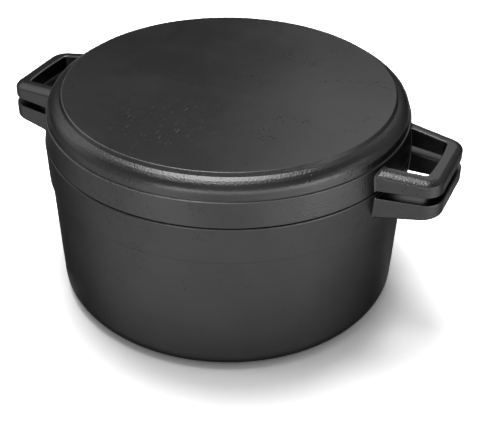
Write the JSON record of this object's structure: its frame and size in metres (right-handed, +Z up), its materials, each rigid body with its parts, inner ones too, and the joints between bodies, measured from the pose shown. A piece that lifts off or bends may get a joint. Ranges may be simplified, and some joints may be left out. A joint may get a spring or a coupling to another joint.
{
  "type": "dutch oven",
  "caption": "Flat-bottomed cast-iron cooking pot with a shallow turned-over pan as its lid, loop handles on the sides of both; the lid lifts off.",
  "frame": {"origin": "centre of the flat bottom, on the surface that the pot stands on", "axes": "+Z up along the pot's axis, +X along the handles, from the left one to the right one"},
  "size_m": [0.366, 0.2906, 0.172],
  "materials": {
    "pot_iron": "seasoned, satin, fine sand-cast grain",
    "lid_iron": "seasoned, satin, fine sand-cast grain"
  },
  "bodies": {
    "pot": {"pot_body": "pot_iron", "pot_handle_left": "pot_iron", "pot_handle_right": "pot_iron"},
    "lid": {"lid_pan": "lid_iron", "lid_handle_left": "lid_iron", "lid_handle_right": "lid_iron"}
  },
  "joints": [
    {"name": "lid_lift", "type": "slide", "parent": "pot", "child": "lid", "axis": [0, 0, 1], "range_m": [0, 0.2]}
  ]
}
